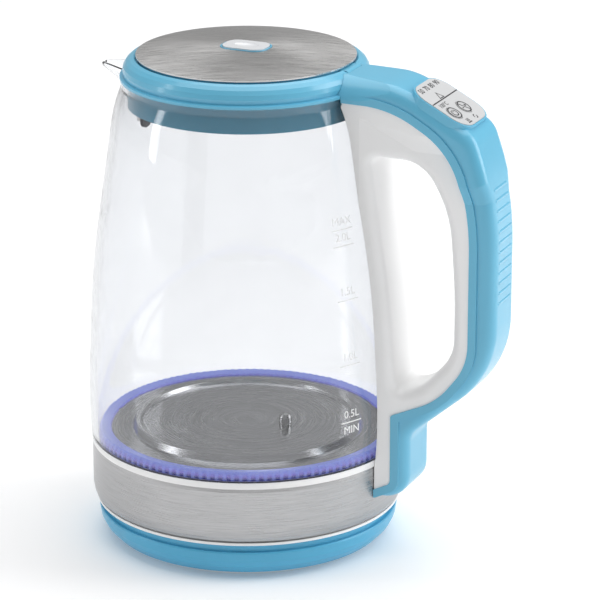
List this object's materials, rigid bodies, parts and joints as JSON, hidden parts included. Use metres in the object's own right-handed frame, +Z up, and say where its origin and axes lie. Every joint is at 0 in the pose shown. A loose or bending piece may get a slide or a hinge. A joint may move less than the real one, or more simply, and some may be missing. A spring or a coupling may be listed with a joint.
{
  "type": "electric kettle",
  "caption": "Cordless glass electric kettle on a round power base, with a hinged steel lid, pouring beak, loop handle and a temperature control panel.",
  "frame": {"origin": "centre of the power base's underside, on the plane that its rubber feet stand on", "axes": "+Z up along the kettle's axis, +X towards the handle, -X towards the spout"},
  "size_m": [0.211, 0.1554, 0.2458],
  "materials": {
    "base_blue": "glossy light blue",
    "shell_blue": "satin light blue",
    "white_plastic": "satin white",
    "panel_grey": "light grey print panel",
    "key_grey": "light grey keys",
    "dark_plastic": "matt",
    "filter_grey": "matt",
    "silicone": "soft",
    "foot_rubber": "soft",
    "clear_glass": "clear",
    "light_guide": "clear blue",
    "band_steel": "brushed round",
    "lid_steel": "brushed straight",
    "plate_steel": "satin",
    "screw_steel": "plain",
    "contact_brass": "plain",
    "spreader_aluminium": "plain",
    "element_steel": "plain",
    "board_green": "lacquered board",
    "led_blue": "lit",
    "button_silver": "satin silver"
  },
  "bodies": {
    "power_base": {"base_housing": "base_blue", "cord_gland": "foot_rubber", "base_bottom_plate": "white_plastic", "base_feet": "foot_rubber", "base_screws": "screw_steel", "connector_tower": "dark_plastic", "connector_contacts": "contact_brass"},
    "lid": {"lid_plate": "lid_steel", "lid_body": "shell_blue", "lid_seal": "silicone", "lid_inner_cover": "white_plastic", "lid_button_bezel": "shell_blue", "lid_button_spring": "screw_steel"},
    "lid_button": {"lid_button": "button_silver"},
    "lid_latch": {"lid_latch": "white_plastic"},
    "power_button": {"power_button": "key_grey"},
    "temperature_button": {"temperature_button": "key_grey"},
    "kettle": {"bottom_cover": "base_blue", "bottom_cover_screws": "screw_steel", "socket_housing": "dark_plastic", "socket_contacts": "contact_brass", "thermostat_unit": "dark_plastic", "lower_trim_ring": "white_plastic", "steel_band": "band_steel", "upper_trim_ring": "white_plastic", "heating_plate": "plate_steel", "heat_spreader": "spreader_aluminium", "heating_element": "element_steel", "temperature_sensor": "plate_steel", "plate_seal": "silicone", "light_ring": "light_guide", "led_board": "board_green", "leds": "led_blue", "glass_body": "clear_glass", "top_collar": "shell_blue", "lid_hinge_pin": "screw_steel", "lid_hinge_springs": "screw_steel", "spout_filter_frame": "filter_grey", "spout_filter_mesh": "plate_steel", "handle_outer_shell": "shell_blue", "handle_inner_shell": "white_plastic", "control_panel": "panel_grey", "control_board": "board_green"}
  },
  "joints": [
    {"name": "kettle_lift", "type": "slide", "parent": "power_base", "child": "kettle", "axis": [0, 0, 1], "range_m": [0, 0.06]},
    {"name": "lid_hinge", "type": "hinge", "parent": "kettle", "child": "lid", "pos_m": [0.054, 0, 0.2376], "axis": [0, 1, 0], "range_deg": [0, 65]},
    {"name": "lid_button_press", "type": "slide", "parent": "lid", "child": "lid_button", "axis": [0, 0, -1], "range_m": [0, 0.002], "stiffness_N_per_m": 400, "springref_m": -0.001, "deforming": ["lid_button_spring"]},
    {"name": "lid_latch_draw", "type": "slide", "parent": "lid", "child": "lid_latch", "axis": [1, 0, 0], "range_m": [0, 0.002], "stiffness_N_per_m": 200, "springref_m": -0.001},
    {"name": "power_button_press", "type": "slide", "parent": "kettle", "child": "power_button", "axis": [-0.4695, 0, -0.8829], "range_m": [0, 0.0008], "stiffness_N_per_m": 400, "springref_m": -0.0005},
    {"name": "temperature_button_press", "type": "slide", "parent": "kettle", "child": "temperature_button", "axis": [-0.4695, 0, -0.8829], "range_m": [0, 0.0008], "stiffness_N_per_m": 400, "springref_m": -0.0005}
  ],
  "couplings": [
    {"joint": "lid_latch_draw", "follows": "lid_button_press", "ratio": 1}
  ]
}
